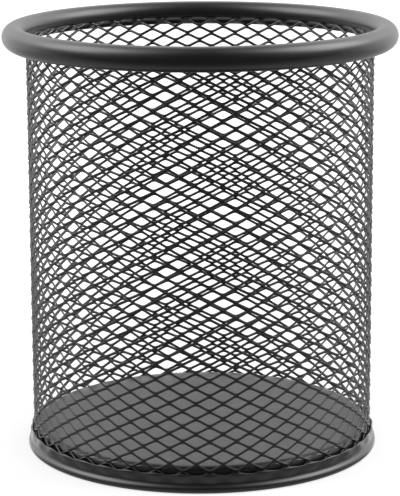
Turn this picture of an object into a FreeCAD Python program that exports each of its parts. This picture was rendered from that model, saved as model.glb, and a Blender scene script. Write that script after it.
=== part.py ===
"""Round pen cup: an expanded-steel wall between a tubular rim and a pressed base pan.

Millimetres, +Z up. The origin is on the cup's axis, in the plane it stands on, and
the front of the cup faces -Y. Three pieces, each in a node of its own: rim_tube,
mesh_wall and base_pan. Nothing moves.
"""
import FreeCAD, Part
import math
import os

from FreeCAD import Vector

# Rim: a closed ring of round steel tube, drawn solid because nothing opens it.
RIM_DIAMETER = 90.0             # over the outside of the tube
RIM_TUBE_DIAMETER = 5.5
OVERALL_HEIGHT = 98.6

# Wall: one sheet of expanded steel rolled into a cylinder. A strand lies tilted in
# the sheet, so that one long corner of it stands out as a ridge.
WELD_ANGLE = 15.5               # degrees below straight inwards where it meets the tube
WALL_DEPTH = 1.2                # from a strand's ridge to its foot
REAL_DIAMONDS_AROUND = 41       # in one row of the real sheet
REAL_DIAMOND_HEIGHT = 3.45
STRANDS_MERGED = 2              # one modelled strand stands for this many real ones
OPENING_SHARE = 0.80            # of a diamond's height, the rest is its strands
FIRST_BOND_HEIGHT = 1.1         # where two strands join, nearest the front's foot
FIRST_BOND_ANGLE = 2.5          # degrees from the front, towards +X

# Base pan: a disc pressed from sheet. Its floor ends in a rounded shoulder, then it
# folds into a channel for the wall's lower edge and a skirt round the outside.
PAN_SHEET = 0.4
BEAD_OVERHANG = 1.15            # from the wall's ridges out to the foot's widest line
FLOOR_HEIGHT = 5.6              # upper face of the floor
SHOULDER_RADIUS = 1.4
SKIRT_HEIGHT = 4.4
BEAD_RADIUS = 0.55              # roll at the foot, which the cup stands on
CREASE_ANGLE = 57.0             # degrees up the bead at which the skirt starts
CREASE_DEPTH = 0.2              # step from the bead out to the skirt

# Fits
CHANNEL_CLEARANCE = 0.1         # from the wall to either side of the pan's channel
SEAT_GAP = 0.2                  # from the wall's ends to the pan and to the tube

FRONT_ANGLE = -90.0             # degrees from +X
TUBE_FLAT_ANGLE = 30.0          # degrees of the tube's section that one flat takes
PAN_FLAT_ANGLE = 90.0           # the same at most, on the bends of the pan's sheet
UP = Vector(0, 0, 1)
CENTRE = Vector(0, 0, 0)

# Sizes that follow from those above
tube_radius = RIM_TUBE_DIAMETER / 2
rim_radius = RIM_DIAMETER / 2 - tube_radius
tube_height = OVERALL_HEIGHT - tube_radius
weld = math.radians(WELD_ANGLE)
ridge_radius = rim_radius - tube_radius * math.cos(weld)
foot_radius = ridge_radius - WALL_DEPTH
columns = round(REAL_DIAMONDS_AROUND / STRANDS_MERGED)
diamond_height = REAL_DIAMOND_HEIGHT * STRANDS_MERGED
half_column = math.pi / columns
opening_reach = OPENING_SHARE * ridge_radius / foot_radius
half_opening = OPENING_SHARE * diamond_height / 2
wall_bottom = PAN_SHEET + SEAT_GAP
wall_top = tube_height - tube_radius * math.sin(weld) - SEAT_GAP


# ---------------------------------------------------------------- turned profiles

def at(radius, height):
    """A point of a profile that is turned round the cup's axis."""
    return Vector(radius, 0, height)


def bend(centre, radius, start, end, longest_flat):
    """Points round a bend, its angles taken from outwards, joined by short flats."""
    flats = math.ceil(abs(end - start) / longest_flat)
    angles = [math.radians(start + (end - start) * step / flats)
              for step in range(flats + 1)]
    return [centre + at(radius * math.cos(angle), radius * math.sin(angle))
            for angle in angles]


def turned(profile):
    """The solid that a closed profile makes in one turn round the axis."""
    return flat_face(profile).revolve(CENTRE, UP, 360).Solids[0]


def flat_face(corners):
    """A flat face between corners given in order round it."""
    return Part.Face(Part.makePolygon(corners + corners[:1]))


# ---------------------------------------------------------------- rim

def rim_tube():
    """The ring of tube that the wall's upper edge is welded under."""
    section = bend(at(rim_radius, tube_height), tube_radius, 0, 360, TUBE_FLAT_ANGLE)
    return turned(section[:-1])


# ---------------------------------------------------------------- mesh wall
#
# The sheet is folded along upright lines half a diamond apart, so every strand is
# straight between two lines and all its faces are flat. Bonds and openings take
# turns up each line, and neighbouring lines are half a diamond out of step.

def on_line(index, radius, height, towards=0.0):
    """A point on a fold line, or a share of the way to the next line on either side."""
    turn = math.radians(FRONT_ANGLE + FIRST_BOND_ANGLE) + index * half_column
    next_turn = turn + math.copysign(half_column, towards)
    point = Vector(radius * math.cos(turn), radius * math.sin(turn), height)
    beside = Vector(radius * math.cos(next_turn), radius * math.sin(next_turn), height)
    return point + (beside - point) * abs(towards)


def lattice_rows():
    """Height of the lowest opening on even lines, and how many rows there are.

    The lattice runs past both ends of the wall and is trimmed to it afterwards.
    """
    lowest = FIRST_BOND_HEIGHT - diamond_height / 2
    lowest -= math.ceil((lowest - wall_bottom) / diamond_height) * diamond_height
    rows = math.ceil((wall_top - lowest) / diamond_height + 0.5)
    return lowest, rows


def opening_heights(index):
    """Heights of the openings' centres on one fold line."""
    lowest, rows = lattice_rows()
    out_of_step = diamond_height / 2 if index % 2 else 0.0
    return [lowest + out_of_step + row * diamond_height for row in range(rows)]


def opening_slopes(index, height):
    """The four faces that slope from the ridges round an opening to its edge."""
    return [flat_face([on_line(index, ridge_radius, height + up * diamond_height / 2),
                       on_line(index + side, ridge_radius, height),
                       on_line(index, foot_radius, height, side * opening_reach),
                       on_line(index, foot_radius, height + up * half_opening)])
            for side in (-1, 1) for up in (-1, 1)]


def opening_edges(index, side):
    """The openings' edges on one side of a fold line, as one zigzag from below."""
    edge = []
    for height in opening_heights(index):
        edge.append(on_line(index, foot_radius, height - half_opening))
        edge.append(on_line(index, foot_radius, height, side * opening_reach))
        edge.append(on_line(index, foot_radius, height + half_opening))
    return edge


def strand_feet(index, below, above):
    """The inner face of every strand between a fold line and the next."""
    return flat_face([on_line(index, foot_radius, below)]
                     + opening_edges(index, 1)
                     + [on_line(index, foot_radius, above),
                        on_line(index + 1, foot_radius, above)]
                     + opening_edges(index + 1, -1)[::-1]
                     + [on_line(index + 1, foot_radius, below)])


def blank_end(index, limit, end, outwards):
    """The outer and end faces beyond the last openings, which the trimming removes."""
    past = outwards * diamond_height / 2
    last, next_last = opening_heights(index)[end], opening_heights(index + 1)[end]
    return [flat_face([on_line(index, ridge_radius, limit),
                       on_line(index + 1, ridge_radius, limit),
                       on_line(index + 1, ridge_radius, next_last + past),
                       on_line(index, ridge_radius, last + past)]),
            flat_face([on_line(index, ridge_radius, limit),
                       on_line(index + 1, ridge_radius, limit),
                       on_line(index + 1, foot_radius, limit),
                       on_line(index, foot_radius, limit)])]


def mesh_wall():
    """The lattice of ridged strands, sheared off at the wall's two ends."""
    lowest, rows = lattice_rows()
    below = lowest - diamond_height
    above = lowest + (rows + 1) * diamond_height
    faces = []
    for index in range(2 * columns):
        for height in opening_heights(index):
            faces += opening_slopes(index, height)
        faces.append(strand_feet(index, below, above))
        faces += blank_end(index, below, 0, -1)
        faces += blank_end(index, above, -1, 1)
    shell = Part.Shell(faces)
    shell.sewShape()
    between_ends = Part.makeCylinder(RIM_DIAMETER, wall_top - wall_bottom,
                                     Vector(0, 0, wall_bottom), UP)
    sheared = Part.Solid(shell).common(between_ends)
    return max(sheared.Solids, key=lambda solid: solid.Volume)


# ---------------------------------------------------------------- base pan

def base_pan():
    """Floor, shoulder, channel and skirt, turned from one profile of the sheet."""
    channel_inside = foot_radius * math.cos(half_column / 2) - CHANNEL_CLEARANCE
    skirt_inside = ridge_radius + CHANNEL_CLEARANCE
    shoulder_centre = at(channel_inside - SHOULDER_RADIUS, FLOOR_HEIGHT - SHOULDER_RADIUS)
    bead_centre = at(ridge_radius + BEAD_OVERHANG - BEAD_RADIUS, BEAD_RADIUS)
    bead = bend(bead_centre, BEAD_RADIUS, -90, CREASE_ANGLE, PAN_FLAT_ANGLE)
    skirt_foot = bead[-1] + at(CREASE_DEPTH, CREASE_DEPTH)
    lip_outside = at(skirt_inside + PAN_SHEET, SKIRT_HEIGHT)
    lip_inside = at(skirt_inside, SKIRT_HEIGHT)

    under = [at(0, FLOOR_HEIGHT - PAN_SHEET),
             at(shoulder_centre.x, FLOOR_HEIGHT - PAN_SHEET),
             at(channel_inside - PAN_SHEET, shoulder_centre.z),
             at(channel_inside - PAN_SHEET, 0)]
    skirt = [skirt_foot, lip_outside, lip_inside]
    channel = [at(bead_centre.x, PAN_SHEET), at(channel_inside, PAN_SHEET)]
    floor = bend(shoulder_centre, SHOULDER_RADIUS, 0, 90, PAN_FLAT_ANGLE) + [at(0, FLOOR_HEIGHT)]
    return turned(under + bead + skirt + channel + floor)


PIECES = {"rim_tube": rim_tube, "mesh_wall": mesh_wall, "base_pan": base_pan}

os.makedirs("parts", exist_ok=True)
for name, make in PIECES.items():
    piece = make()
    piece.exportStep("parts/" + name + ".step")
    print(name, "valid" if piece.isValid() else "NOT VALID", round(piece.Volume, 1), "mm3")
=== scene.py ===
import math

import bmesh
import bpy
from bpy.props import FloatProperty, FloatVectorProperty, IntProperty, PointerProperty
from mathutils import Matrix, Vector


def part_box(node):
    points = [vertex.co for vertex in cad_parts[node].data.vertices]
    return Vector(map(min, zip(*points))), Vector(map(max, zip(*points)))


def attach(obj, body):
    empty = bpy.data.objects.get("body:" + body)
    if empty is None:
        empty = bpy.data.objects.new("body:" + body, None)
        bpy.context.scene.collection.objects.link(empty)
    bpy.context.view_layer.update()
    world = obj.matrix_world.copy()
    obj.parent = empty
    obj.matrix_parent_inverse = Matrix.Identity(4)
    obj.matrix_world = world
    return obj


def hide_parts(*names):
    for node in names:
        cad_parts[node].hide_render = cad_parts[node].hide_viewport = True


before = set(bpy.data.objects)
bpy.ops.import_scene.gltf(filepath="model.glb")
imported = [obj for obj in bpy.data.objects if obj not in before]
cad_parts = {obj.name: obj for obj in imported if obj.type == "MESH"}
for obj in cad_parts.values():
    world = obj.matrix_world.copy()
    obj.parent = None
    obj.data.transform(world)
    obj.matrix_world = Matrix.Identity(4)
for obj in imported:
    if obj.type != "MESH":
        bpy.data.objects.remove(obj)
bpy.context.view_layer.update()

bl_info = {
    "name": "Mesh Pen Cup",
    "version": (1, 0, 0),
    "blender": (4, 5, 0),
    "location": "View3D > Sidebar > Pen Cup",
    "description": "A round pen cup of black expanded metal with a tubular rim and a "
                   "pressed base pan",
    "category": "Add Mesh",
}

MM = 0.001
ON_AXIS = 1e-9          # a smaller radius is the axis itself
RING_INSET = 0.01 * MM  # keeps the ring's corners inside the CAD's box
RIDGE_OUTSET = 0.03 * MM                    # of the wall's ridges past their box's side
RIM_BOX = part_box("rim_tube")
WALL_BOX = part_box("mesh_wall")
PAN_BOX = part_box("base_pan")


# ---------------------------------------------------------------- settings

def length(name, description, default):
    """A property for a length, in metres."""
    return FloatProperty(name=name, description=description, default=default,
                         unit="LENGTH", subtype="DISTANCE", precision=5)


def angle(name, description, default):
    """A property for an angle, in radians."""
    return FloatProperty(name=name, description=description, default=default,
                         unit="ROTATION", subtype="ANGLE")


def count(name, description, default, least):
    """A property for a whole number."""
    return IntProperty(name=name, description=description, default=default, min=least)


def grey_tone(name, description, grey, blue=1.06):
    """A property for a grey, its blue a little stronger unless that is given as 1."""
    return FloatVectorProperty(name=name, description=description, subtype="COLOR",
                               size=4, min=0, max=1,
                               default=(grey, grey, grey * blue, 1))


class RimSettings(bpy.types.PropertyGroup):
    """The ring of tube round the mouth."""

    outer_radius: length("Outer Radius", "From the axis to the outside of the tube",
                         RIM_BOX[1][0] - RING_INSET)
    tube_radius: length("Tube Radius", "Of the round tube",
                        (RIM_BOX[1][2] - RIM_BOX[0][2]) / 2)
    top: length("Top", "Height of the tube's top over the table", RIM_BOX[1][2])
    steps_per_bond: count("Steps per Bond", "Faces round the ring for each bond", 8, 4)
    bond_angle: angle("Bond Angle", "Of a bond in the rim, from the front",
                      math.radians(176.26))
    tube_steps: count("Steps of Tube", "Faces round the tube", 36, 8)
    paint: grey_tone("Paint", "Colour of the rim's coat", 0.0068)


class WallSettings(bpy.types.PropertyGroup):
    """The wall of expanded steel."""

    radius: length("Radius", "Over the ridges, at the foot", WALL_BOX[1][0] + RIDGE_OUTSET)
    flare: length("Flare", "How much the radius grows up to the top", 0.16 * MM)
    bottom: length("Bottom", "Height of the wall's lower edge", WALL_BOX[0][2])
    top: length("Top", "Height of the wall's upper edge", WALL_BOX[1][2])
    diamonds: count("Diamonds Around", "In one row", 41, 8)
    diamond_height: length("Diamond Height", "Between bonds, one above the other",
                           3.4512 * MM)
    strand_width: length("Strand Width", "The sheet's cut width", 0.65 * MM)
    strand_thickness: length("Strand Thickness", "The sheet's own thickness", 0.42 * MM)
    lean: angle("Lean", "Of the strands' width, from upright towards outwards",
                math.radians(31))
    bond_share: FloatProperty(name="Bond Share", subtype="FACTOR", min=0, max=0.4,
                              description="Half of a bond's length against that of half "
                                          "a diamond", default=0.08)
    bond_angle: angle("First Bond Angle", "From the front, to the right",
                      math.radians(2.492))
    bond_height: length("First Bond Height", "Nearest the front's foot", 1.0976 * MM)
    unevenness: length("Unevenness", "How far the rolled sheet strays", 0.07 * MM)
    paint: grey_tone("Paint", "Colour of the wall's coat", 0.011)


class PanSettings(bpy.types.PropertyGroup):
    """The pressed pan that the cup stands on."""

    sheet: length("Sheet", "Thickness of the pan's sheet", 0.4 * MM)
    floor_height: length("Floor Height", "Upper face of the floor", 5.6 * MM)
    floor_crown: length("Floor Crown", "How far the floor bows up in the middle", 0.12 * MM)
    shoulder: length("Shoulder Radius", "Where the floor turns down", 1.4 * MM)
    channel_radius: length("Channel Radius", "Inside of the wall's channel", 38.75 * MM)
    lip_radius: length("Lip Radius", "Outside of the skirt's lip", 40.05 * MM)
    skirt_height: length("Skirt Height", "The lip over the table", 4.4 * MM)
    foot_radius: length("Foot Radius", "Over the bead", PAN_BOX[1][0])
    bead_radius: length("Bead Radius", "Roll at the skirt's foot", 0.78 * MM)
    dimple: length("Dimple", "How far the crimp follows the wall's bonds", 0.32 * MM)
    steps_per_bond: count("Steps per Bond", "Faces round the pan for each bond", 8, 4)
    paint: grey_tone("Paint", "Colour of the pan's coat", 0.006)


class StudioSettings(bpy.types.PropertyGroup):
    """Camera, floor and light."""

    distance: length("Camera Distance", "From the middle of the cup", 518.83 * MM)
    elevation: angle("Elevation", "How far the camera looks down", 0.2138)
    roll: angle("Roll", "Of the camera", -0.0048)
    lens: FloatProperty(name="Lens", description="Focal length in millimetres",
                        default=162.73)
    floor_colour: grey_tone("Floor", "Colour of the floor", 0.55, blue=1)
    softbox_power: FloatProperty(name="Softbox Power", description="Of each lamp",
                                 default=3.42, subtype="POWER", unit="POWER")


# ---------------------------------------------------------------- meshes

def mesh_object(name, mesh):
    """A new object at the origin, linked to the scene."""
    made = bpy.data.objects.new(name, mesh)
    bpy.context.scene.collection.objects.link(made)
    return made


def finish_mesh(mesh):
    """Turns the faces outwards and shades them smooth."""
    work = bmesh.new()
    work.from_mesh(mesh)
    bmesh.ops.recalc_face_normals(work, faces=work.faces)
    work.to_mesh(mesh)
    work.free()
    mesh.polygons.foreach_set("use_smooth", [True] * len(mesh.polygons))
    mesh.update()


def ring_points(steps):
    """Across, along and turn of each step round the axis, half a step off the front."""
    turns = [(step + 0.5) * math.tau / steps for step in range(steps)]
    return [(math.sin(turn), -math.cos(turn), turn) for turn in turns]


def turned_mesh(name, profile, steps, shaped=None):
    """A mesh turned from (radius, height) points.

    Points on the axis become poles; a profile that doesn't touch it closes on itself.
    `shaped` may move a point by where it lies round the axis.
    """
    vertices, rings = [], []
    for radius, height in profile:
        if radius < ON_AXIS:
            rings.append([len(vertices)])
            vertices.append((0, 0, height))
            continue
        first = len(vertices)
        for across, along, turn in ring_points(steps):
            here, up = shaped(radius, height, turn) if shaped else (radius, height)
            vertices.append((here * across, here * along, up))
        rings.append(list(range(first, first + steps)))
    pairs = list(zip(rings, rings[1:]))
    if len(rings[0]) > 1:
        pairs.append((rings[-1], rings[0]))
    faces = []
    for lower, upper in pairs:
        for step in range(steps):
            after = (step + 1) % steps
            if len(lower) == 1:
                faces.append((lower[0], upper[step], upper[after]))
            elif len(upper) == 1:
                faces.append((lower[step], lower[after], upper[0]))
            else:
                faces.append((lower[step], lower[after], upper[after], upper[step]))
    mesh = bpy.data.meshes.new(name)
    mesh.from_pydata(vertices, [], faces)
    finish_mesh(mesh)
    return mesh


def arc(centre, radius, start, end, steps):
    """(radius, height) points on an arc, its angles in degrees from outwards."""
    turns = [math.radians(start + (end - start) * i / steps) for i in range(steps + 1)]
    return [(centre[0] + radius * math.cos(turn), centre[1] + radius * math.sin(turn))
            for turn in turns]


def eased(points, steps):
    """A smooth curve through (radius, height) points, each gap cut into so many steps."""
    held = [points[0]] + list(points) + [points[-1]]
    curve = []
    for a, b, c, d in zip(held, held[1:], held[2:], held[3:]):
        for i in range(steps):
            t = i / steps
            curve.append(tuple(0.5 * (2 * b[k] + (c[k] - a[k]) * t
                                      + (2 * a[k] - 5 * b[k] + 4 * c[k] - d[k]) * t * t
                                      + (3 * b[k] - a[k] - 3 * c[k] + d[k]) * t ** 3)
                               for k in (0, 1)))
    return curve + [points[-1]]


# ---------------------------------------------------------------- node helpers

def add_node(tree, kind, values=None, **settings):
    """A node with its settings made and its inputs set or linked."""
    node = tree.nodes.new(kind)
    for name, value in settings.items():
        setattr(node, name, value)
    for key, value in (values or {}).items():
        if isinstance(value, bpy.types.NodeSocket):
            tree.links.new(value, node.inputs[key])
        else:
            node.inputs[key].default_value = value
    return node


def maths(tree, operation, *values):
    """The output of a Math node."""
    return add_node(tree, "ShaderNodeMath", dict(enumerate(values)),
                    operation=operation).outputs[0]


def faded(tree, value, start, end, low, high):
    """A soft step from low to high while a value goes from start to end."""
    return add_node(tree, "ShaderNodeMapRange",
                    {0: value, 1: start, 2: end, 3: low, 4: high},
                    interpolation_type="SMOOTHSTEP").outputs[0]


def group_socket(tree, name, kind, default=None, way="INPUT"):
    """Adds a named socket to a node group's interface."""
    socket = tree.interface.new_socket(name=name, in_out=way, socket_type=kind)
    if default is not None:
        socket.default_value = default


# ---------------------------------------------------------------- lattice tree

COLUMN_STEPS = 3        # faces along a strand, from one bond's middle to the next
SECTION_STEPS = 6       # faces round a strand
START_COLUMNS = 40.0    # from the back, where a strand starts, to the first bond
CROWDING = 0.2          # how far the steps crowd towards the bonds, of a column
OFF_BOND = 0.42         # from a bond's middle to its strands' middles, of their width
CORNER_FILL = 1.28      # squares up the strand's section; 1 is round
SAME_POINT = 2e-6       # points that are nearer than this are merged
ON_PLANE = 1e-7         # points that are nearer to a cut's plane lie on it
SPARE_ROWS = 6          # half diamonds past the two ends, which are sheared off
STRAY_SCALE = 130.0     # of the noise that makes the sheet uneven
SEED = 3.0              # of the same noise

# How the pattern of the rolled sheet drifts round (in radians) and up. A pair is the
# value in front and what is added to it by the back; by side is per radius to the right.
SLIP_BEHIND = 0.036
SLIP_BY_SIDE = (-0.0132, 0.0445)
SLIP_BY_SIDE_SQUARED = (-0.0089, 0.0446)
CLIMB_BEHIND = 1.366 * MM                   # at the foot, and at the top less by:
CLIMB_LOST_BY_TOP = 1.12 * MM
CLIMB_BY_SIDE = (0.12 * MM, -0.07 * MM)
CLIMB_BY_SIDE_SQUARED = (0.135 * MM, -0.47 * MM)

SOCKET_KINDS = {int: "NodeSocketInt", float: "NodeSocketFloat",
                bpy.types.Material: "NodeSocketMaterial"}


def lattice_tree(inputs):
    """Geometry Nodes tree for the rolled expanded metal, with these inputs' names.

    One strand winds round the cup as a zigzag from bond to bond. Its section keeps its
    lean all the way, and where two strands meet they sink a little into each other.
    Each turn ends one diamond down, where the next strand starts, so that the whole
    wall is one endless lattice. Rows of that strand are instanced and realized.
    """
    tree = bpy.data.node_groups.new("expanded_metal", "GeometryNodeTree")
    tree.is_modifier = True
    group_socket(tree, "Geometry", "NodeSocketGeometry", way="OUTPUT")
    for name, value in inputs.items():
        group_socket(tree, name, SOCKET_KINDS[type(value)], value)
    given = add_node(tree, "NodeGroupInput").outputs

    def calc(operation, *values):
        return maths(tree, operation, *values)

    def vector(**parts):
        return add_node(tree, "ShaderNodeCombineXYZ", parts).outputs[0]

    half_columns = calc("MULTIPLY", given["Diamonds"], 2.0)
    steps = calc("MULTIPLY", half_columns, float(COLUMN_STEPS))
    grid = add_node(tree, "GeometryNodeMeshGrid",
                    {"Size X": 1.0, "Size Y": 1.0, "Vertices X": calc("ADD", steps, 1.0),
                     "Vertices Y": SECTION_STEPS + 1})
    place = add_node(tree, "ShaderNodeSeparateXYZ",
                     {0: add_node(tree, "GeometryNodeInputPosition").outputs[0]}).outputs

    # Along the strand: its steps crowd towards the bonds, where it bends
    even = calc("MULTIPLY", calc("ADD", place["X"], 0.5), half_columns)
    crowd = calc("MULTIPLY", calc("SINE", calc("MULTIPLY", even, math.tau)), CROWDING)
    along = calc("SUBTRACT", even, crowd)
    climb = add_node(tree, "ShaderNodeMapRange",
                     {0: calc("PINGPONG", along, 1.0), 1: given["Bond Share"],
                      2: calc("SUBTRACT", 1.0, given["Bond Share"]), 3: 0.0, 4: 1.0}
                     ).outputs[0]
    column_turn = calc("DIVIDE", math.pi, given["Diamonds"])
    start = calc("SUBTRACT", given["Bond Angle"],
                 calc("MULTIPLY", column_turn, START_COLUMNS))
    turn = calc("ADD", start, calc("MULTIPLY", along, column_turn))
    fall = calc("MULTIPLY", calc("SUBTRACT", turn, given["Bond Angle"]),
                calc("DIVIDE", given["Diamond Height"], -math.tau))

    # Where the strand's middle runs
    sine, cosine = calc("SINE", given["Lean"]), calc("COSINE", given["Lean"])
    off_bond = calc("MULTIPLY", given["Strand Width"], OFF_BOND)
    swing = calc("SUBTRACT", 1.0, calc("MULTIPLY", climb, 2.0))
    middle_out = calc("MULTIPLY", calc("MULTIPLY", off_bond, sine), swing)
    up_at_bond = calc("MULTIPLY", off_bond, cosine)
    middle_up = calc("ADD", calc("MULTIPLY", calc("MULTIPLY", climb, 0.5),
                                 given["Diamond Height"]),
                     calc("MULTIPLY", up_at_bond, swing))

    # Its section: a leaning rectangle with softened corners
    round_section = calc("MULTIPLY", calc("ADD", place["Y"], 0.5 + 0.5 / SECTION_STEPS),
                         math.tau)

    def softened(side, size):
        wide = calc("MULTIPLY", calc(side, round_section), CORNER_FILL)
        kept = calc("MAXIMUM", calc("MINIMUM", wide, 1.0), -1.0)
        return calc("MULTIPLY", kept, calc("MULTIPLY", given[size], 0.5))

    across = softened("COSINE", "Strand Width")
    through = softened("SINE", "Strand Thickness")
    out = calc("ADD", calc("MULTIPLY", across, sine), calc("MULTIPLY", through, cosine))
    up = calc("SUBTRACT", calc("MULTIPLY", across, cosine), calc("MULTIPLY", through, sine))

    # From the axis: the ridges stay inside the wall's radius
    reach = calc("ADD", calc("MULTIPLY", calc("ABSOLUTE", sine),
                             calc("MULTIPLY", given["Strand Width"], OFF_BOND + 0.5)),
                 calc("MULTIPLY", cosine, calc("MULTIPLY", given["Strand Thickness"], 0.5)))
    radius = calc("ADD", calc("SUBTRACT", given["Radius"], reach),
                  calc("ADD", middle_out, out))
    height = calc("ADD", calc("ADD", middle_up, up), fall)
    strand = add_node(tree, "GeometryNodeSetPosition", {
        "Geometry": grid.outputs["Mesh"],
        "Position": vector(
            X=calc("MULTIPLY", radius, calc("SINE", turn)),
            Y=calc("MULTIPLY", radius, calc("MULTIPLY", calc("COSINE", turn), -1.0)),
            Z=height)})

    # Rows of it, half a diamond apart and in turn one column out of step
    lowest = calc("SUBTRACT", given["Bond Height"],
                  calc("MULTIPLY", given["Diamond Height"], 2.0))
    rows = add_node(tree, "GeometryNodeMeshLine", {
        "Count": given["Rows"], "Start Location": vector(Z=lowest),
        "Offset": vector(Z=calc("MULTIPLY", given["Diamond Height"], 0.5))})
    odd = calc("MODULO", add_node(tree, "GeometryNodeInputIndex").outputs[0], 2.0)
    drop = calc("MULTIPLY", odd, calc("DIVIDE", given["Diamond Height"],
                                      calc("MULTIPLY", half_columns, -1.0)))
    stepped = add_node(tree, "GeometryNodeSetPosition",
                       {"Geometry": rows.outputs["Mesh"], "Offset": vector(Z=drop)})
    placed = add_node(tree, "GeometryNodeInstanceOnPoints", {
        "Points": stepped.outputs[0], "Instance": strand.outputs[0],
        "Rotation": vector(Z=calc("MULTIPLY", odd, column_turn))})
    real = add_node(tree, "GeometryNodeRealizeInstances", {"Geometry": placed.outputs[0]})
    joined = add_node(tree, "GeometryNodeMergeByDistance",
                      {"Geometry": real.outputs[0], "Distance": SAME_POINT})

    # The wall flares towards the top, and the rolled sheet strays a little all over
    where = add_node(tree, "GeometryNodeInputPosition").outputs[0]
    spot = add_node(tree, "ShaderNodeSeparateXYZ", {0: where}).outputs
    level = calc("DIVIDE", spot["Z"], given["Height"])
    widen = calc("MULTIPLY", level, calc("DIVIDE", given["Flare"], given["Radius"]))
    stray = add_node(tree, "ShaderNodeTexNoise",
                     {"Vector": where, "W": given["Seed"], "Scale": STRAY_SCALE,
                      "Detail": 1.0}, noise_dimensions="4D").outputs["Color"]
    centred = add_node(tree, "ShaderNodeVectorMath", {0: stray, 1: (0.5, 0.5, 0.5)},
                       operation="SUBTRACT").outputs[0]
    moved = add_node(tree, "ShaderNodeVectorMath",
                     {0: centred, "Scale": calc("MULTIPLY", given["Unevenness"], 2.0)},
                     operation="SCALE").outputs[0]

    # Its pattern slips round and climbs, the more the nearer it is to the back
    side = calc("DIVIDE", spot["X"], given["Radius"])
    behind = calc("DIVIDE", spot["Y"], given["Radius"])
    away = calc("ADD", calc("MULTIPLY", behind, 0.5), 0.5)

    def drift(first, added, of=away):
        return calc("ADD", first, calc("MULTIPLY", of, added))

    sideways = drift(drift(*SLIP_BY_SIDE), drift(*SLIP_BY_SIDE_SQUARED), side)
    slip = drift(calc("MULTIPLY", calc("MULTIPLY", away, away), SLIP_BEHIND),
                 sideways, side)
    slant = drift(drift(*CLIMB_BY_SIDE), drift(*CLIMB_BY_SIDE_SQUARED), side)
    rise = drift(calc("MULTIPLY", side, slant),
                 calc("SUBTRACT", CLIMB_BEHIND, calc("MULTIPLY", level, CLIMB_LOST_BY_TOP)))
    drifted = vector(X=calc("SUBTRACT", calc("MULTIPLY", spot["X"], widen),
                            calc("MULTIPLY", spot["Y"], slip)),
                     Y=calc("ADD", calc("MULTIPLY", spot["Y"], widen),
                            calc("MULTIPLY", spot["X"], slip)),
                     Z=rise)
    offset = add_node(tree, "ShaderNodeVectorMath", {0: drifted, 1: moved},
                      operation="ADD").outputs[0]
    settled = add_node(tree, "GeometryNodeSetPosition",
                       {"Geometry": joined.outputs[0], "Offset": offset})
    smooth = add_node(tree, "GeometryNodeSetShadeSmooth",
                      {"Geometry": settled.outputs[0], "Shade Smooth": True})
    again = add_node(tree, "GeometryNodeRealizeInstances", {"Geometry": smooth.outputs[0]})
    painted = add_node(tree, "GeometryNodeSetMaterial",
                       {"Geometry": again.outputs[0], "Material": given["Material"]})
    add_node(tree, "NodeGroupOutput", {"Geometry": painted.outputs[0]})
    return tree


def run_tree(name, tree, inputs):
    """An object with the plain mesh that a Geometry Nodes tree makes from these inputs."""
    carrier = mesh_object(name, bpy.data.meshes.new(name))
    modifier = carrier.modifiers.new("lattice", "NODES")
    modifier.node_group = tree
    for item in tree.interface.items_tree:
        if item.in_out == "INPUT":
            modifier[item.identifier] = inputs[item.name]
    carrier.update_tag()
    depsgraph = bpy.context.evaluated_depsgraph_get()
    depsgraph.update()
    mesh = bpy.data.meshes.new_from_object(carrier.evaluated_get(depsgraph),
                                           preserve_all_data_layers=True,
                                           depsgraph=depsgraph)
    carrier.modifiers.remove(modifier)
    carrier.data = mesh
    mesh.name = name
    return carrier


def shear_ends(mesh, bottom, top):
    """Cuts the lattice off level at both ends and closes the cut strands."""
    work = bmesh.new()
    work.from_mesh(mesh)
    for height, outwards in ((bottom, -1), (top, 1)):
        bmesh.ops.bisect_plane(work, geom=work.verts[:] + work.edges[:] + work.faces[:],
                               dist=ON_PLANE, plane_co=(0, 0, height),
                               plane_no=(0, 0, outwards), clear_outer=True)
    open_edges = [edge for edge in work.edges if len(edge.link_faces) == 1]
    bmesh.ops.holes_fill(work, edges=open_edges, sides=0)
    bmesh.ops.recalc_face_normals(work, faces=work.faces)
    work.to_mesh(mesh)
    work.free()
    mesh.update()


# ---------------------------------------------------------------- paint

CLOUD_SIZE = 9.0        # of the mottle's clouds, in sizes of the orange peel
SPECULAR = 0.75         # of the baked coat
EDGE_HIGHLIGHT = (0.03, 0.03, 0.032, 1)             # the painted highlight's colour on outer edges
EDGE_HIGHLIGHT_SHARE = 0.35     # of that colour, where the mask is full
EDGE_HIGHLIGHT_SMOOTHER = 0.2   # how much less rough it is at a share of 1


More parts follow.
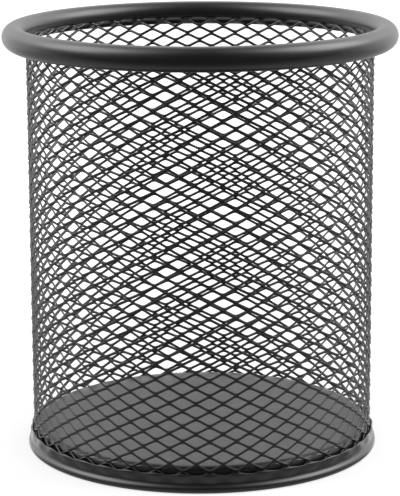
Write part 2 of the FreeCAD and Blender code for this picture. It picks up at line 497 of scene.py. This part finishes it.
def coat_group():
    """Shader group: the faint orange peel, mottle and grain of a baked powder coat."""
    name = "powder_coat"
    if name in bpy.data.node_groups:
        return bpy.data.node_groups[name]
    tree = bpy.data.node_groups.new(name, "ShaderNodeTree")
    group_socket(tree, "Peel Size", "NodeSocketFloat", 0.8 * MM)
    group_socket(tree, "Grain Size", "NodeSocketFloat", 0.12 * MM)
    group_socket(tree, "Paint", "NodeSocketColor", (0.006, 0.006, 0.006, 1))
    group_socket(tree, "Lighter Paint", "NodeSocketColor", (0.01, 0.01, 0.01, 1))
    group_socket(tree, "Roughness", "NodeSocketFloat", 0.34)
    group_socket(tree, "Mottle", "NodeSocketFloat", 0.08)
    group_socket(tree, "Color", "NodeSocketColor", way="OUTPUT")
    group_socket(tree, "Roughness", "NodeSocketFloat", way="OUTPUT")
    group_socket(tree, "Height", "NodeSocketFloat", way="OUTPUT")
    given = add_node(tree, "NodeGroupInput").outputs
    where = add_node(tree, "ShaderNodeTexCoord").outputs["Object"]

    def noise(size, detail):
        scale = maths(tree, "DIVIDE", 1.0, size)
        return add_node(tree, "ShaderNodeTexNoise",
                        {"Vector": where, "Scale": scale, "Detail": detail,
                         "Roughness": 0.55}).outputs["Fac"]

    def mixed(mostly, rest, share):
        return maths(tree, "ADD", maths(tree, "MULTIPLY", mostly, share),
                     maths(tree, "MULTIPLY", rest, 1 - share))

    peel = noise(given["Peel Size"], 1.0)
    grain = noise(given["Grain Size"], 2.0)
    cloud = noise(maths(tree, "MULTIPLY", given["Peel Size"], CLOUD_SIZE), 3.0)
    height = mixed(peel, grain, 0.75)
    shade = mixed(cloud, grain, 0.7)
    rough = maths(tree, "ADD", given["Roughness"], maths(
        tree, "MULTIPLY", maths(tree, "SUBTRACT", cloud, 0.5), given["Mottle"]))
    colour = add_node(tree, "ShaderNodeMix", {"Factor": shade, "A": given["Paint"],
                                              "B": given["Lighter Paint"]},
                      data_type="RGBA")
    add_node(tree, "NodeGroupOutput", {"Color": colour.outputs["Result"],
                                       "Roughness": rough, "Height": height})
    return tree


def edge_highlight_group():
    """Shader group: a mask of outer edges, where a painted highlight lightens the coat."""
    name = "rubbed_edges"
    if name in bpy.data.node_groups:
        return bpy.data.node_groups[name]
    tree = bpy.data.node_groups.new(name, "ShaderNodeTree")
    group_socket(tree, "From", "NodeSocketFloat", 0.52)
    group_socket(tree, "To", "NodeSocketFloat", 0.62)
    group_socket(tree, "Breakup Size", "NodeSocketFloat", 2.0 * MM)
    group_socket(tree, "Mask", "NodeSocketFloat", way="OUTPUT")
    given = add_node(tree, "NodeGroupInput").outputs
    bend = add_node(tree, "ShaderNodeNewGeometry").outputs["Pointiness"]
    outer = add_node(tree, "ShaderNodeMapRange",
                     {0: bend, 1: given["From"], 2: given["To"], 3: 0.0, 4: 1.0}).outputs[0]
    where = add_node(tree, "ShaderNodeTexCoord").outputs["Object"]
    broken = add_node(tree, "ShaderNodeTexNoise",
                      {"Vector": where, "Detail": 3.0,
                       "Scale": maths(tree, "DIVIDE", 1.0, given["Breakup Size"])})
    patchy = add_node(tree, "ShaderNodeMapRange",
                      {0: broken.outputs["Fac"], 1: 0.4, 2: 0.65, 3: 0.15, 4: 1.0}
                      ).outputs[0]
    add_node(tree, "NodeGroupOutput", {"Mask": maths(tree, "MULTIPLY", outer, patchy)})
    return tree


def black_coat(name, paint, roughness, peel, bump):
    """A satin black powder coat on steel; peel is a size, and bump a height."""
    material = bpy.data.materials.new(name)
    material.use_nodes = True
    tree = material.node_tree
    tree.nodes.clear()
    lighter = tuple(channel * 1.6 + 0.001 for channel in paint[:3]) + (1,)
    coat = add_node(tree, "ShaderNodeGroup", node_tree=coat_group())
    for key, value in (("Peel Size", peel), ("Paint", tuple(paint)),
                       ("Lighter Paint", lighter), ("Roughness", roughness)):
        coat.inputs[key].default_value = value
    edges = add_node(tree, "ShaderNodeGroup", node_tree=edge_highlight_group())
    # Outer edges get a painted highlight in the colour, and are a little less rough there
    # too
    highlighted = maths(tree, "MULTIPLY", edges.outputs["Mask"], EDGE_HIGHLIGHT_SHARE)
    colour = add_node(tree, "ShaderNodeMix",
                      {"Factor": highlighted, "A": coat.outputs["Color"], "B": EDGE_HIGHLIGHT},
                      data_type="RGBA")
    smoother = maths(tree, "SUBTRACT", coat.outputs["Roughness"],
                     maths(tree, "MULTIPLY", highlighted, EDGE_HIGHLIGHT_SMOOTHER))
    relief = add_node(tree, "ShaderNodeBump",
                      {"Strength": 1.0, "Distance": bump, "Height": coat.outputs["Height"]})
    surface = add_node(tree, "ShaderNodeBsdfPrincipled",
                       {"Base Color": colour.outputs["Result"], "Roughness": smoother,
                        "Normal": relief.outputs["Normal"], "Specular IOR Level": SPECULAR})
    add_node(tree, "ShaderNodeOutputMaterial", {"Surface": surface.outputs[0]})
    return material


# ---------------------------------------------------------------- pieces

TUBE_ARC = (-116, 196)  # degrees from outwards, up and over to the open seam
SHUT_ARC = (202, 238)   # where the seam's points lie when it is pinched shut
SEAM_GAP = 0.03 * MM    # how far below the tube's round they lie then
# The seam, right and up in millimetres from the end of the tube's arc that it is near
SEAM_INNER = ((0.07, -0.09), (0.2, -0.19))
SEAM_OUTER = ((-0.14, 0.77), (-0.05, 0.7), (-0.04, 0.6), (-0.03, 0.12))
GRIP_SHARP = 2.2        # how steeply the seam opens on either side of a bond
GRIP_LATE = 0.7         # the more, the nearer to the bond it does so

FLOOR_RINGS = (0, 0.1, 0.25, 0.4, 0.55, 0.7, 0.8, 0.9, 0.96)     # of the floor's radius
# Down the skirt: how far towards the foot's radius, of the way, and millimetres up
SKIRT_CURVE = ((0.0, 3.8), (-0.04, 3.2), (-0.09, 2.6), (-0.07, 2.25), (0.05, 1.98),
               (0.34, 1.7), (0.72, 1.42), (0.94, 1.14))
CRIMP_FOOT = 1.9 * MM   # the height at which the crimp's dents begin
CRIMP_REST = 3.0 * MM   # they deepen over the skirt's height less this
CRIMP_AT_LIP = 0.4      # the share of them that the lip keeps
CRIMP_SHARP = 1.3       # how narrow they are over a bond
CRIMP_INWARDS = 0.35    # the share of the dimple that it lies inwards between bonds
LIP_DEPTH = 0.9 * MM    # the top of the skirt, which sinks between bonds
LIP_SINK = 0.35         # by this share of the depth
INNER_FACE = -0.1       # of the sheet, from 0 inside to 1 outside, with some room


def settle(made, node):
    """The piece rides with the cup and stands for its CAD node."""
    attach(made, "root")
    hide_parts(node)


class CUP_OT_rim(bpy.types.Operator):
    """Make the ring of round tube, welded to the wall's upper edge"""

    bl_idname = "pen_cup.rim"
    bl_label = "Rim"

    def execute(self, context):
        rim = context.scene.pen_cup_rim
        wall = context.scene.pen_cup_wall
        centre = (rim.outer_radius - rim.tube_radius, rim.top - rim.tube_radius)
        tube = arc(centre, rim.tube_radius, *TUBE_ARC, rim.tube_steps)
        seam = [(end[0] + right * MM, end[1] + up * MM)
                for end, steps in ((tube[-1], SEAM_INNER), (tube[0], SEAM_OUTER))
                for right, up in steps]
        shut = dict(zip(seam, arc(centre, rim.tube_radius - SEAM_GAP, *SHUT_ARC,
                                  len(seam) - 1)))

        def gripping(radius, height, turn):
            """The open seam, low on the inside, is pinched shut on each bond it holds."""
            if (radius, height) not in shut:
                return radius, height
            wave = math.cos(wall.diamonds * (turn - rim.bond_angle))
            share = min(1, max(0, wave * GRIP_SHARP - GRIP_LATE))
            return tuple(a + (b - a) * share
                         for a, b in zip((radius, height), shut[radius, height]))

        made = mesh_object("rim", turned_mesh("rim", tube + seam,
                                              wall.diamonds * rim.steps_per_bond, gripping))
        made.data.materials.append(
            black_coat("rim_coat", rim.paint, roughness=0.34, peel=0.9 * MM,
                       bump=0.004 * MM))
        settle(made, "rim_tube")
        return {"FINISHED"}


class CUP_OT_wall(bpy.types.Operator):
    """Make the wall of expanded metal, strand by strand"""

    bl_idname = "pen_cup.wall"
    bl_label = "Mesh Wall"

    def execute(self, context):
        wall = context.scene.pen_cup_wall
        rows = 2 * math.ceil((wall.top - wall.bottom) / wall.diamond_height) + SPARE_ROWS
        inputs = {
            "Diamonds": wall.diamonds, "Rows": rows,
            "Diamond Height": wall.diamond_height, "Radius": wall.radius,
            "Flare": wall.flare, "Height": wall.top, "Strand Width": wall.strand_width,
            "Strand Thickness": wall.strand_thickness, "Lean": wall.lean,
            "Bond Share": wall.bond_share, "Bond Angle": wall.bond_angle,
            "Bond Height": wall.bond_height, "Unevenness": wall.unevenness,
            "Seed": SEED,
            "Material": black_coat("wall_coat", wall.paint, roughness=0.42,
                                   peel=0.5 * MM, bump=0.003 * MM),
        }
        made = run_tree("wall", lattice_tree(inputs), inputs)
        shear_ends(made.data, wall.bottom, wall.top)
        settle(made, "mesh_wall")
        return {"FINISHED"}


class CUP_OT_pan(bpy.types.Operator):
    """Make the pressed pan: floor, shoulder, channel, crimped skirt and bead"""

    bl_idname = "pen_cup.pan"
    bl_label = "Base Pan"

    def execute(self, context):
        pan = context.scene.pen_cup_pan
        wall = context.scene.pen_cup_wall
        made = mesh_object("pan", turned_mesh(
            "pan", self.profile(pan), wall.diamonds * pan.steps_per_bond,
            lambda radius, height, turn: self.crimped(pan, wall, radius, height, turn)))
        made.data.materials.append(
            black_coat("pan_coat", pan.paint, roughness=0.34, peel=0.8 * MM,
                       bump=0.004 * MM))
        settle(made, "base_pan")
        return {"FINISHED"}

    def profile(self, pan):
        """Half the pan's section, from the floor's middle out and back underneath."""
        sheet, inner, lip = pan.sheet, pan.channel_radius, pan.lip_radius
        turn_in = (inner - pan.shoulder, pan.floor_height - pan.shoulder)
        bead = (pan.foot_radius - pan.bead_radius, pan.bead_radius)
        floor = [(r * turn_in[0], pan.floor_height + pan.floor_crown * (1 - r * r))
                 for r in FLOOR_RINGS]
        shoulder = arc(turn_in, pan.shoulder, 90, 0, 6)
        channel = [(inner, 2.6 * MM), (inner, sheet + 0.3 * MM), (inner + 0.12 * MM, sheet),
                   (bead[0] - 0.25 * MM, sheet), (bead[0] + 0.05 * MM, sheet + 0.25 * MM)]
        inside = [(lip - sheet - 0.01 * MM, 2.2 * MM), (lip - sheet - 0.01 * MM, 3.4 * MM),
                  (lip - sheet, pan.skirt_height - 0.15 * MM)]
        over = arc((lip - sheet / 2, pan.skirt_height - sheet / 2), sheet / 2, 180, 0, 6)
        flare = pan.foot_radius - lip
        skirt = eased([over[-1]] + [(lip + share * flare, height * MM)
                                    for share, height in SKIRT_CURVE], 3)[1:]
        foot = arc(bead, pan.bead_radius, 12, -90, 8)
        under = [(inner - sheet + 0.15 * MM, 0), (inner - sheet, 0.15 * MM),
                 (inner - sheet, turn_in[1])]
        below = arc(turn_in, pan.shoulder - sheet, 0, 90, 5)[1:]
        middle = [(share * turn_in[0], pan.floor_height - sheet) for share in (0.5, 0)]
        return (floor + shoulder + channel + inside + over + skirt + foot
                + under + below + middle)

    def crimped(self, pan, wall, radius, height, turn):
        """Pressed on the wall, the skirt stands out over each bond and sinks between."""
        outer = (radius - pan.lip_radius + pan.sheet) / pan.sheet
        if outer < INNER_FACE or height < CRIMP_FOOT:
            return radius, height
        share = min(1, (height - CRIMP_FOOT) / (pan.skirt_height - CRIMP_REST))
        share *= (max(0, min(1, outer))
                  * min(1, (pan.skirt_height - height) / MM + CRIMP_AT_LIP))
        wave = 0.5 + 0.5 * math.cos(wall.diamonds * (turn - wall.bond_angle))
        pressed = (wave ** CRIMP_SHARP - CRIMP_INWARDS) * share * share * (3 - 2 * share)
        sunk = max(0, height - pan.skirt_height + LIP_DEPTH) * LIP_SINK * (1 - wave)
        return radius + pan.dimple * pressed, height - sunk


# ---------------------------------------------------------------- studio

MIDDLE = Vector((0, 0, 0.05))               # where the camera and the lamps look
SHIFT = (-0.0020, -0.03353)                 # of the camera's frame
FLOOR_HALF = 6.0                            # from the floor's middle to its edge
# Each softbox's direction from the middle of the foot, and its share of the power
SOFTBOXES = ((Vector((-0.66, 0.0, 0.751)), 0.8), (Vector((0.67, 0.06, 0.74)), 1.0))
SOFTBOX_SIZE = 0.55     # metres along a side
SOFTBOX_DISTANCE = 0.9  # metres from the same place
ROOM_LIGHT = 0.4        # of the room on dull surfaces; white is 1
DARKEST_FLOOR = 0.08    # of the floor, as glossy surfaces see it


class CUP_OT_studio(bpy.types.Operator):
    """Set up the floor, the soft light and the camera"""

    bl_idname = "pen_cup.studio"
    bl_label = "Studio"

    def execute(self, context):
        studio = context.scene.pen_cup_studio
        self.floor(studio)
        self.light(context, studio)
        self.camera(context, studio)
        context.scene.view_settings.view_transform = "Standard"
        return {"FINISHED"}

    def seen(self, tree):
        """One where the camera or a see-through ray looks."""
        path = add_node(tree, "ShaderNodeLightPath").outputs
        return maths(tree, "MAXIMUM", path["Is Camera Ray"], path["Is Transmission Ray"])

    def floor(self, studio):
        """A plain pale floor that keeps the cup's shadow."""
        work = bmesh.new()
        bmesh.ops.create_grid(work, x_segments=1, y_segments=1, size=FLOOR_HALF)
        mesh = bpy.data.meshes.new("floor")
        work.to_mesh(mesh)
        work.free()
        floor = mesh_object("floor", mesh)
        material = bpy.data.materials.new("floor_paper")
        material.use_nodes = True
        tree = material.node_tree
        tree.nodes.clear()
        where = add_node(tree, "ShaderNodeTexCoord").outputs["Object"]
        away = add_node(tree, "ShaderNodeVectorMath", {0: where},
                        operation="LENGTH").outputs["Value"]
        paper = add_node(tree, "ShaderNodeBsdfDiffuse",
                         {"Color": tuple(studio.floor_colour)})
        glow = add_node(tree, "ShaderNodeEmission", {"Strength": maths(
            tree, "MULTIPLY", self.seen(tree), faded(tree, away, 0.07, 0.3, 0.66, 1.0))})
        both = add_node(tree, "ShaderNodeAddShader",
                        {0: paper.outputs[0], 1: glow.outputs[0]})

        # Glossy surfaces see it darker in front of the cup and brighter behind, with a
        # sheen close to the cup where it is seen at a slant
        along = add_node(tree, "ShaderNodeSeparateXYZ", {0: where}).outputs["Y"]
        slant = add_node(tree, "ShaderNodeLayerWeight", {"Blend": 0.5}).outputs["Facing"]
        sheen = maths(tree, "MULTIPLY", faded(tree, along, -0.02, 0.0, -0.25, 1.3),
                      maths(tree, "MULTIPLY", faded(tree, slant, 0.5, 0.8, 0.0, 1.0),
                            faded(tree, away, 0.05, 0.12, 1.0, 0.0)))
        graded = maths(tree, "ADD", faded(tree, along, -0.17, -0.02, 0.1, 0.58),
                       faded(tree, along, 0.03, 0.35, 0.0, 0.75))
        mirrored = add_node(tree, "ShaderNodeEmission", {"Strength": maths(
            tree, "MAXIMUM", maths(tree, "ADD", graded, sheen), DARKEST_FLOOR)})
        surface = add_node(tree, "ShaderNodeMixShader", {
            0: add_node(tree, "ShaderNodeLightPath").outputs["Is Glossy Ray"],
            1: both.outputs[0], 2: mirrored.outputs[0]})
        add_node(tree, "ShaderNodeOutputMaterial", {"Surface": surface.outputs[0]})
        mesh.materials.append(material)

    def light(self, context, studio):
        """A softbox high on either side, and a white room that is dimmer in front."""
        for to_box, share in SOFTBOXES:
            lamp = bpy.data.lights.new("softbox", "AREA")
            lamp.shape = "SQUARE"
            lamp.size = SOFTBOX_SIZE
            lamp.energy = studio.softbox_power * share
            box = bpy.data.objects.new("softbox", lamp)
            box.location = to_box * SOFTBOX_DISTANCE
            aim = MIDDLE - box.location
            box.rotation_euler = aim.to_track_quat("-Z", "Y").to_euler()
            context.scene.collection.objects.link(box)
        world = bpy.data.worlds.new("white_room")
        world.use_nodes = True
        tree = world.node_tree
        tree.nodes.clear()
        looking = add_node(tree, "ShaderNodeTexCoord").outputs["Generated"]
        way = add_node(tree, "ShaderNodeSeparateXYZ", {0: looking}).outputs
        sideways = maths(tree, "ABSOLUTE", way["X"])

        # Glossy surfaces see it bright behind, most of all to the sides and half way up,
        # then the side walls, a dim ceiling and a glow round each softbox
        behind = faded(tree, way["Y"], -0.2, 0.6, 0.06, 1.1)
        for share in (faded(tree, sideways, 0.2, 0.6, 1.0, 1.35),
                      faded(tree, way["Z"], 0.15, 0.5, 1.0, 1.4),
                      faded(tree, way["Z"], 0.6, 1.0, 1.0, 0.12)):
            behind = maths(tree, "MULTIPLY", behind, share)
        beside = faded(tree, sideways, 0.4, 1.0, 0.0, 0.35)
        mirrored = maths(tree, "MAXIMUM", maths(tree, "MAXIMUM", behind, beside),
                         faded(tree, way["Z"], 0.6, 1.0, 0.0, 0.15))
        for to_box, _ in SOFTBOXES:
            near = add_node(tree, "ShaderNodeVectorMath", {0: looking, 1: tuple(to_box)},
                            operation="DOT_PRODUCT").outputs["Value"]
            mirrored = maths(tree, "ADD", mirrored, faded(tree, near, 0.78, 0.97, 0.0, 1.4))
        glossy = add_node(tree, "ShaderNodeLightPath").outputs["Is Glossy Ray"]
        around = add_node(tree, "ShaderNodeMix",
                          {"Factor": glossy, "A": ROOM_LIGHT, "B": mirrored},
                          data_type="FLOAT")
        strength = maths(tree, "MAXIMUM", around.outputs[0], self.seen(tree))
        room = add_node(tree, "ShaderNodeBackground",
                        {"Color": (1, 1, 1, 1), "Strength": strength})
        add_node(tree, "ShaderNodeOutputWorld", {"Surface": room.outputs[0]})
        context.scene.world = world

    def camera(self, context, studio):
        """The camera, aimed at the cup's middle and looking down a little."""
        back = Vector((0, -math.cos(studio.elevation), math.sin(studio.elevation)))
        side = Vector((1, 0, 0))
        over = back.cross(side)
        right = side * math.cos(studio.roll) + over * math.sin(studio.roll)
        over = back.cross(right)
        lens = bpy.data.cameras.new("camera")
        lens.lens = studio.lens
        lens.sensor_width = 36
        lens.shift_x, lens.shift_y = SHIFT
        lens.clip_start, lens.clip_end = 0.01, 50
        view = bpy.data.objects.new("camera", lens)
        place = Matrix((right, over, back)).transposed().to_4x4()
        place.translation = MIDDLE + back * studio.distance
        view.matrix_world = place
        context.scene.collection.objects.link(view)
        context.scene.camera = view


# ---------------------------------------------------------------- add-on

class CUP_PT_panel(bpy.types.Panel):
    """The pen cup's sizes, paints and pieces."""

    bl_label = "Pen Cup"
    bl_idname = "CUP_PT_panel"
    bl_space_type = "VIEW_3D"
    bl_region_type = "UI"
    bl_category = "Pen Cup"

    def draw(self, context):
        for operator, settings in PARTS:
            box = self.layout.box()
            group = getattr(context.scene, settings)
            for name in group.__annotations__:
                box.prop(group, name)
            box.operator(operator)


PARTS = (("pen_cup.rim", "pen_cup_rim"), ("pen_cup.wall", "pen_cup_wall"),
         ("pen_cup.pan", "pen_cup_pan"), ("pen_cup.studio", "pen_cup_studio"))
GROUPS = {"pen_cup_rim": RimSettings, "pen_cup_wall": WallSettings,
          "pen_cup_pan": PanSettings, "pen_cup_studio": StudioSettings}
CLASSES = tuple(GROUPS.values()) + (CUP_OT_rim, CUP_OT_wall, CUP_OT_pan, CUP_OT_studio,
                                    CUP_PT_panel)


def register():
    for cls in CLASSES:
        bpy.utils.register_class(cls)
    for name, group in GROUPS.items():
        setattr(bpy.types.Scene, name, PointerProperty(type=group))


def unregister():
    for name in GROUPS:
        delattr(bpy.types.Scene, name)
    for cls in reversed(CLASSES):
        bpy.utils.unregister_class(cls)


def main():
    register()
    bpy.ops.pen_cup.rim()
    bpy.ops.pen_cup.wall()
    bpy.ops.pen_cup.pan()
    bpy.ops.pen_cup.studio()


if __name__ == "__main__":
    main()
